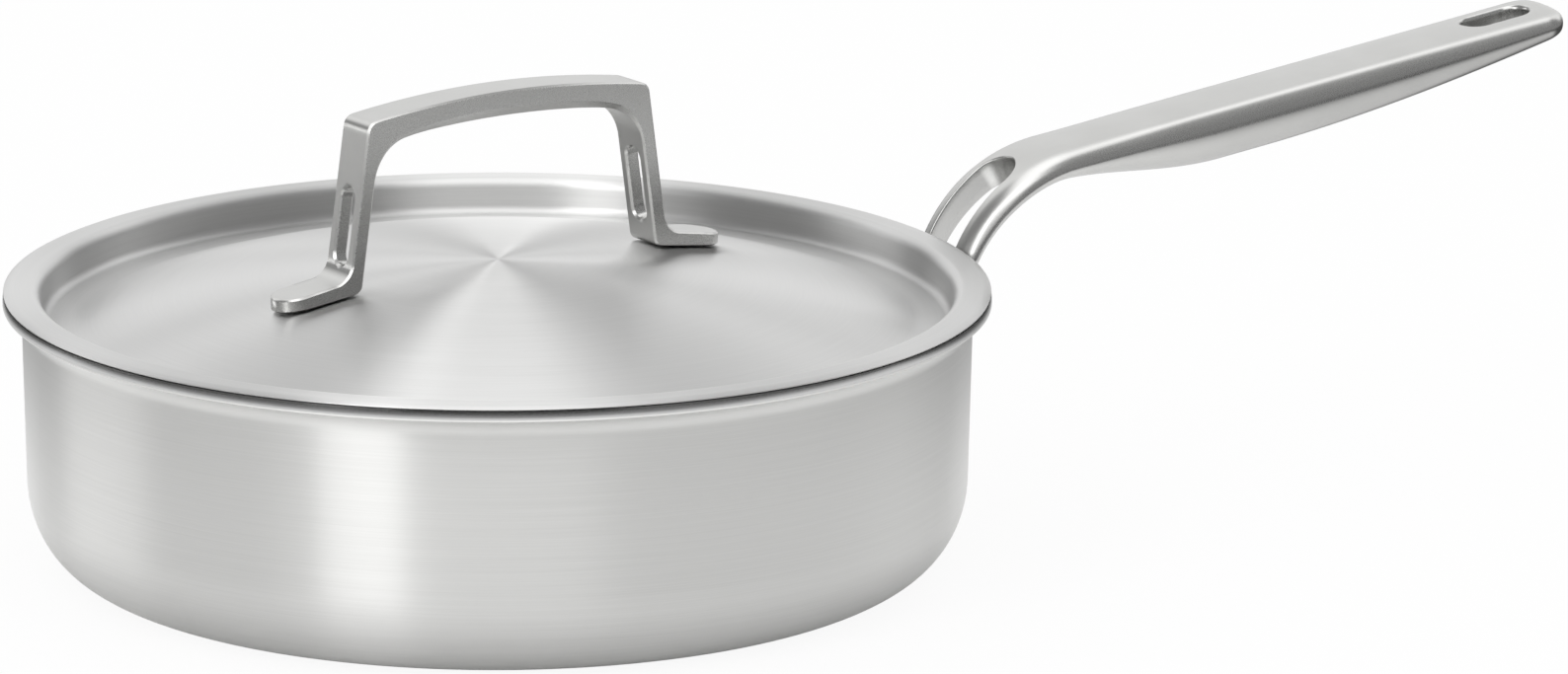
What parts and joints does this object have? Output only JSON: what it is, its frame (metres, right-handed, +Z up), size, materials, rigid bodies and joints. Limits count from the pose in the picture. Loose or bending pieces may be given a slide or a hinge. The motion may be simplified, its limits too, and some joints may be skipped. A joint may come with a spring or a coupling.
{
  "type": "saute pan with lid",
  "caption": "Deep straight-sided frying pan in clad stainless steel with a forked cast handle and a pressed lid that lifts off by a bridge handle.",
  "frame": {"origin": "centre of the flat of the pan's base, on the surface that it stands on", "axes": "+Z up along the pan's axis, +X along the long handle"},
  "size_m": [0.4421, 0.2544, 0.1246],
  "materials": {
    "brushed_outer_steel": "satin, brushed round the wall",
    "aluminium_core": "plain rolled, seen only at the cut edge of the lip",
    "brushed_inner_steel": "satin, brushed round the wall",
    "cast_handle_steel": "fine bead-blasted satin with polished edges",
    "spun_lid_steel": "satin, brushed in circles"
  },
  "bodies": {
    "pan": {"pan_outer_skin": "brushed_outer_steel", "pan_core": "aluminium_core", "pan_inner_skin": "brushed_inner_steel", "pan_handle": "cast_handle_steel"},
    "lid": {"lid_shell": "spun_lid_steel", "lid_handle": "cast_handle_steel"}
  },
  "joints": [
    {"name": "lid_lift", "type": "slide", "parent": "pan", "child": "lid", "axis": [0, 0, 1], "range_m": [0, 0.15]}
  ]
}
